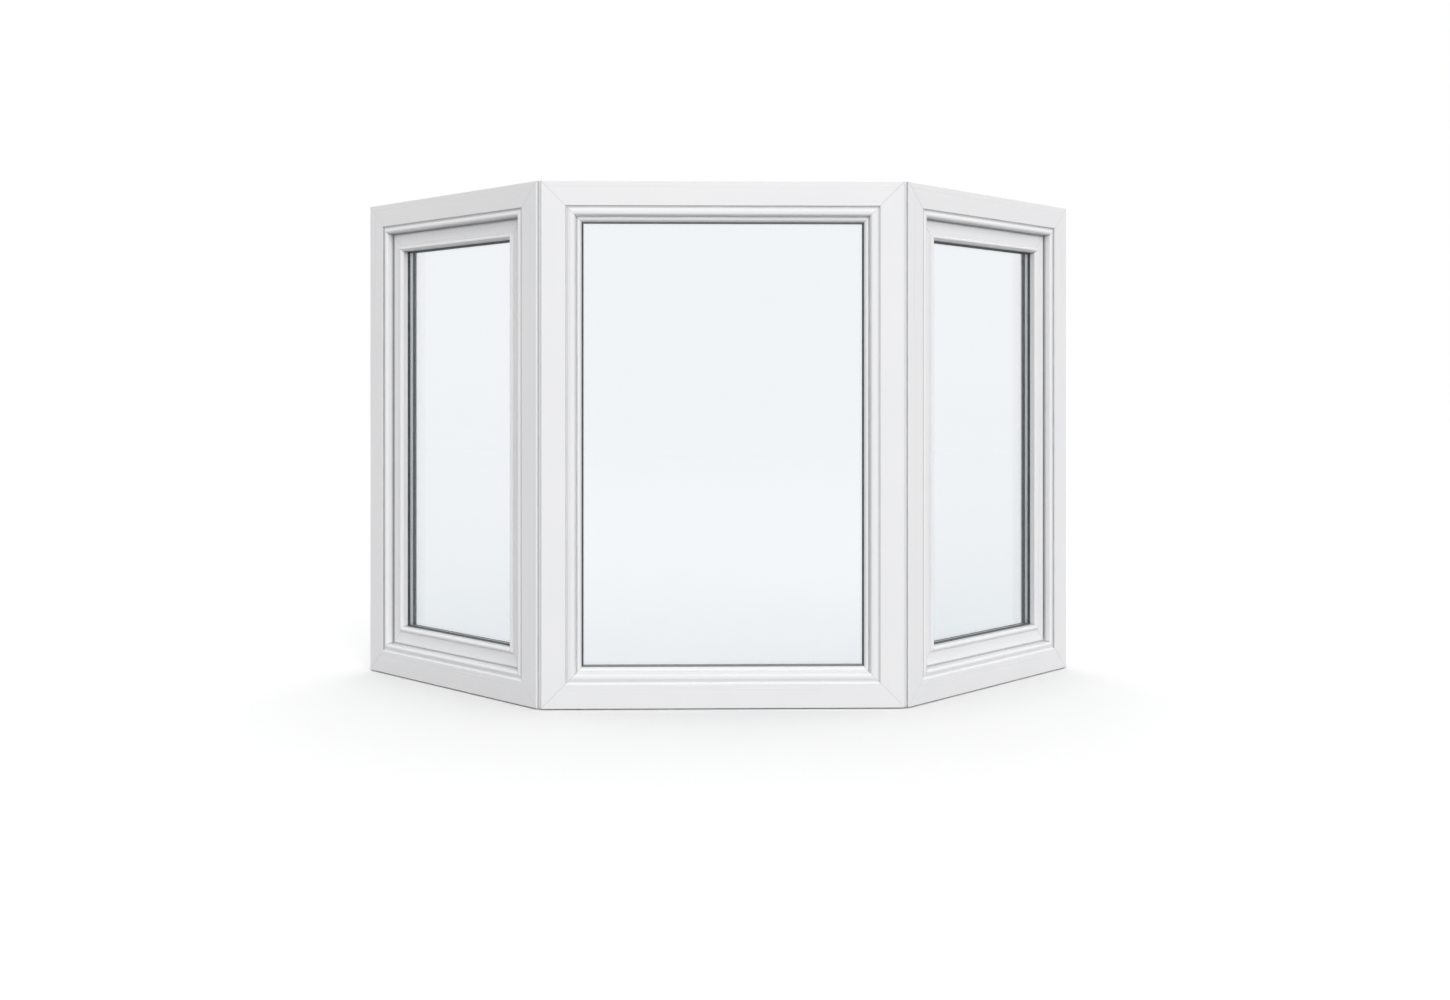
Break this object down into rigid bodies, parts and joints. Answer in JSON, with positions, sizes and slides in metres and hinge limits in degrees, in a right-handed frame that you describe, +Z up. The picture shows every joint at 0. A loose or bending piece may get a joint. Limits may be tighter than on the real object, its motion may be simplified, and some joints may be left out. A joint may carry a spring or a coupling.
{
  "type": "three-light bay window",
  "caption": "Angled bay window of white plastic frames: a fixed middle light with a double-glazed casement on each slanting side.",
  "frame": {"origin": "on the ground, in the middle of the plan's outline: halfway across the width and halfway from the outside face to the wall ends", "axes": "+Z up, +Y from outside into the room, X along the middle light"},
  "size_m": [1.8412, 0.5438, 1.22],
  "materials": {
    "frame": "satin white uPVC",
    "sash": "satin white uPVC",
    "bead": "satin white uPVC",
    "trim": "satin white uPVC",
    "post": "white powder coat",
    "fastener": "white powder coat",
    "glass": "clear float glass",
    "spacer": "mill aluminium",
    "seal": "matt black seal"
  },
  "bodies": {
    "root": {"centre_head": "frame", "centre_sill": "frame", "centre_left_jamb": "frame", "centre_right_jamb": "frame", "centre_outer_pane": "glass", "centre_inner_pane": "glass", "centre_spacer": "spacer", "centre_gaskets": "seal", "centre_bead_rails": "bead", "centre_bead_uprights": "bead", "left_head": "frame", "left_sill": "frame", "left_wall_jamb": "frame", "left_corner_jamb": "frame", "left_sash_top_rail": "sash", "left_sash_bottom_rail": "sash", "left_sash_wall_stile": "sash", "left_sash_corner_stile": "sash", "left_outer_pane": "glass", "left_inner_pane": "glass", "left_spacer": "spacer", "left_gaskets": "seal", "left_bead_rails": "bead", "left_bead_uprights": "bead", "right_head": "frame", "right_sill": "frame", "right_wall_jamb": "frame", "right_corner_jamb": "frame", "right_sash_top_rail": "sash", "right_sash_bottom_rail": "sash", "right_sash_wall_stile": "sash", "right_sash_corner_stile": "sash", "right_outer_pane": "glass", "right_inner_pane": "glass", "right_spacer": "spacer", "right_gaskets": "seal", "right_bead_rails": "bead", "right_bead_uprights": "bead", "left_corner_post": "post", "left_corner_trim": "trim", "left_handle": "fastener", "right_corner_post": "post", "right_corner_trim": "trim", "right_handle": "fastener"}
  },
  "joints": []
}
